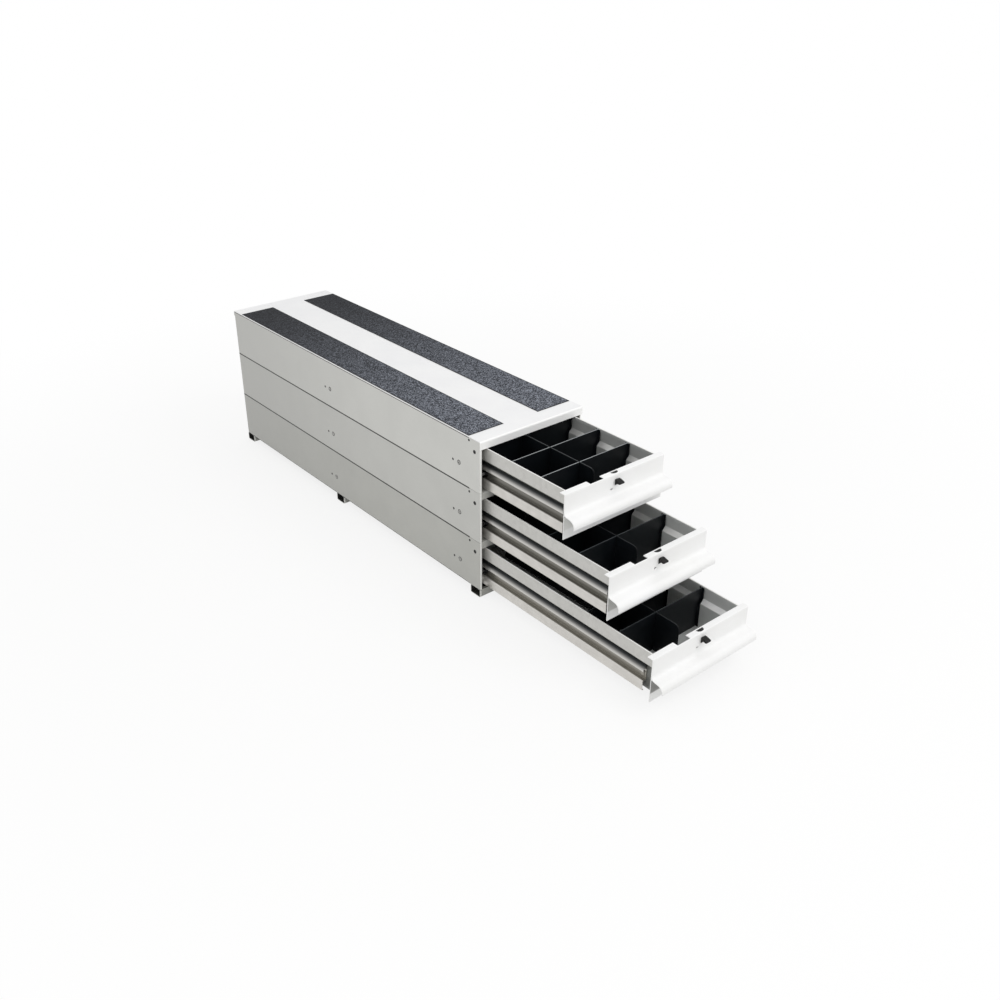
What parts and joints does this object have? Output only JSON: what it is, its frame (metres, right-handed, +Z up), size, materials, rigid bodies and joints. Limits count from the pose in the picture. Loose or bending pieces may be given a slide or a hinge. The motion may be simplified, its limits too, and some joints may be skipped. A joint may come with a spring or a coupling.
{
  "type": "van drawer unit",
  "caption": "Low, deep steel drawer cabinet for a van: stacked pull-out trays on rollers with lipped fronts, thumb latches, dividers and anti-slip strips on top.",
  "frame": {"origin": "on the floor, under the middle of the whole box with the drawers drawn out as at rest", "axes": "+X right seen from the front, +Y back along the cabinet (drawers open towards -Y), +Z up"},
  "size_m": [0.3334, 1.8323, 0.4411],
  "materials": {
    "grey_panel": "warm light grey powder coat, satin",
    "white_top": "white powder coat, satin",
    "grit": "charcoal grit-coated anti-slip strip",
    "grey_rail": "light grey powder coat, satin",
    "zinc": "bright zinc plate",
    "bright_steel": "roll-formed bright galvanised steel",
    "tray_zinc": "galvanised sheet steel, satin",
    "white_front": "white powder coat, satin",
    "black_roller": "black sealed roller bearing",
    "black_latch": "black moulded plastic",
    "black_divider": "black moulded plastic"
  },
  "bodies": {
    "cabinet": {"top_panel": "white_top", "back_panel": "grey_panel", "side_panel_left_1": "grey_panel", "side_panel_right_1": "grey_panel", "side_panel_left_2": "grey_panel", "side_panel_right_2": "grey_panel", "side_panel_left_3": "grey_panel", "side_panel_right_3": "grey_panel", "grit_strip_left": "grit", "grit_strip_right": "grit", "cross_rail_1": "grey_rail", "cross_rail_2": "grey_rail", "cross_rail_3": "grey_rail", "base_channel_front": "grey_rail", "base_channel_middle": "grey_rail", "base_channel_rear": "grey_rail", "cabinet_runner_left_1": "zinc", "cabinet_runner_right_1": "zinc", "cabinet_runner_left_2": "zinc", "cabinet_runner_right_2": "zinc", "cabinet_runner_left_3": "zinc", "cabinet_runner_right_3": "zinc"},
    "drawer_1": {"tray_1": "tray_zinc", "drawer_front_1": "white_front", "drawer_runner_left_1": "bright_steel", "drawer_runner_right_1": "bright_steel", "long_divider_1": "black_divider", "cross_divider_1_1": "black_divider", "cross_divider_1_2": "black_divider", "cross_divider_1_3": "black_divider"},
    "latch_1": {"latch_slide_1": "black_latch"},
    "front_roller_left_1": {"front_roller_left_1": "black_roller"},
    "rear_roller_left_1": {"rear_roller_left_1": "black_roller"},
    "front_roller_right_1": {"front_roller_right_1": "black_roller"},
    "rear_roller_right_1": {"rear_roller_right_1": "black_roller"},
    "drawer_2": {"tray_2": "tray_zinc", "drawer_front_2": "white_front", "drawer_runner_left_2": "bright_steel", "drawer_runner_right_2": "bright_steel", "long_divider_2": "black_divider", "cross_divider_2_1": "black_divider", "cross_divider_2_2": "black_divider"},
    "latch_2": {"latch_slide_2": "black_latch"},
    "front_roller_left_2": {"front_roller_left_2": "black_roller"},
    "rear_roller_left_2": {"rear_roller_left_2": "black_roller"},
    "front_roller_right_2": {"front_roller_right_2": "black_roller"},
    "rear_roller_right_2": {"rear_roller_right_2": "black_roller"},
    "drawer_3": {"tray_3": "tray_zinc", "drawer_front_3": "white_front", "drawer_runner_left_3": "bright_steel", "drawer_runner_right_3": "bright_steel", "long_divider_3": "black_divider", "cross_divider_3_1": "black_divider", "cross_divider_3_2": "black_divider"},
    "latch_3": {"latch_slide_3": "black_latch"},
    "front_roller_left_3": {"front_roller_left_3": "black_roller"},
    "rear_roller_left_3": {"rear_roller_left_3": "black_roller"},
    "front_roller_right_3": {"front_roller_right_3": "black_roller"},
    "rear_roller_right_3": {"rear_roller_right_3": "black_roller"}
  },
  "joints": [
    {"name": "drawer_slide_1", "type": "slide", "parent": "cabinet", "child": "drawer_1", "axis": [0, 1, 0], "range_m": [-0.7782, 0.2868]},
    {"name": "latch_push_1", "type": "slide", "parent": "drawer_1", "child": "latch_1", "axis": [0, 0, 1], "range_m": [0, 0.005], "stiffness_N_per_m": 300, "springref_m": -0.003},
    {"name": "front_roller_spin_left_1", "type": "hinge", "parent": "cabinet", "child": "front_roller_left_1", "pos_m": [-0.14095, -0.29295, 0.3448], "axis": [1, 0, 0], "continuous": true},
    {"name": "rear_roller_spin_left_1", "type": "hinge", "parent": "drawer_1", "child": "rear_roller_left_1", "pos_m": [-0.15915, 0.58385, 0.34335], "axis": [1, 0, 0], "continuous": true},
    {"name": "front_roller_spin_right_1", "type": "hinge", "parent": "cabinet", "child": "front_roller_right_1", "pos_m": [0.14095, -0.29295, 0.3448], "axis": [1, 0, 0], "continuous": true},
    {"name": "rear_roller_spin_right_1", "type": "hinge", "parent": "drawer_1", "child": "rear_roller_right_1", "pos_m": [0.15915, 0.58385, 0.34335], "axis": [1, 0, 0], "continuous": true},
    {"name": "drawer_slide_2", "type": "slide", "parent": "cabinet", "child": "drawer_2", "axis": [0, 1, 0], "range_m": [-0.6292, 0.4358]},
    {"name": "latch_push_2", "type": "slide", "parent": "drawer_2", "child": "latch_2", "axis": [0, 0, 1], "range_m": [0, 0.005], "stiffness_N_per_m": 300, "springref_m": -0.003},
    {"name": "front_roller_spin_left_2", "type": "hinge", "parent": "cabinet", "child": "front_roller_left_2", "pos_m": [-0.14095, -0.29295, 0.2056], "axis": [1, 0, 0], "continuous": true},
    {"name": "rear_roller_spin_left_2", "type": "hinge", "parent": "drawer_2", "child": "rear_roller_left_2", "pos_m": [-0.15915, 0.43485, 0.20415], "axis": [1, 0, 0], "continuous": true},
    {"name": "front_roller_spin_right_2", "type": "hinge", "parent": "cabinet", "child": "front_roller_right_2", "pos_m": [0.14095, -0.29295, 0.2056], "axis": [1, 0, 0], "continuous": true},
    {"name": "rear_roller_spin_right_2", "type": "hinge", "parent": "drawer_2", "child": "rear_roller_right_2", "pos_m": [0.15915, 0.43485, 0.20415], "axis": [1, 0, 0], "continuous": true},
    {"name": "drawer_slide_3", "type": "slide", "parent": "cabinet", "child": "drawer_3", "axis": [0, 1, 0], "range_m": [-0.4882, 0.5768]},
    {"name": "latch_push_3", "type": "slide", "parent": "drawer_3", "child": "latch_3", "axis": [0, 0, 1], "range_m": [0, 0.005], "stiffness_N_per_m": 300, "springref_m": -0.003},
    {"name": "front_roller_spin_left_3", "type": "hinge", "parent": "cabinet", "child": "front_roller_left_3", "pos_m": [-0.14095, -0.29295, 0.0664], "axis": [1, 0, 0], "continuous": true},
    {"name": "rear_roller_spin_left_3", "type": "hinge", "parent": "drawer_3", "child": "rear_roller_left_3", "pos_m": [-0.15915, 0.29385, 0.06495], "axis": [1, 0, 0], "continuous": true},
    {"name": "front_roller_spin_right_3", "type": "hinge", "parent": "cabinet", "child": "front_roller_right_3", "pos_m": [0.14095, -0.29295, 0.0664], "axis": [1, 0, 0], "continuous": true},
    {"name": "rear_roller_spin_right_3", "type": "hinge", "parent": "drawer_3", "child": "rear_roller_right_3", "pos_m": [0.15915, 0.29385, 0.06495], "axis": [1, 0, 0], "continuous": true}
  ],
  "couplings": [
    {"joint": "front_roller_spin_left_1", "follows": "drawer_slide_1", "rad_per_m": -105.26},
    {"joint": "rear_roller_spin_left_1", "follows": "drawer_slide_1", "rad_per_m": -117.65},
    {"joint": "front_roller_spin_right_1", "follows": "drawer_slide_1", "rad_per_m": -105.26},
    {"joint": "rear_roller_spin_right_1", "follows": "drawer_slide_1", "rad_per_m": -117.65},
    {"joint": "front_roller_spin_left_2", "follows": "drawer_slide_2", "rad_per_m": -105.26},
    {"joint": "rear_roller_spin_left_2", "follows": "drawer_slide_2", "rad_per_m": -117.65},
    {"joint": "front_roller_spin_right_2", "follows": "drawer_slide_2", "rad_per_m": -105.26},
    {"joint": "rear_roller_spin_right_2", "follows": "drawer_slide_2", "rad_per_m": -117.65},
    {"joint": "front_roller_spin_left_3", "follows": "drawer_slide_3", "rad_per_m": -105.26},
    {"joint": "rear_roller_spin_left_3", "follows": "drawer_slide_3", "rad_per_m": -117.65},
    {"joint": "front_roller_spin_right_3", "follows": "drawer_slide_3", "rad_per_m": -105.26},
    {"joint": "rear_roller_spin_right_3", "follows": "drawer_slide_3", "rad_per_m": -117.65}
  ]
}
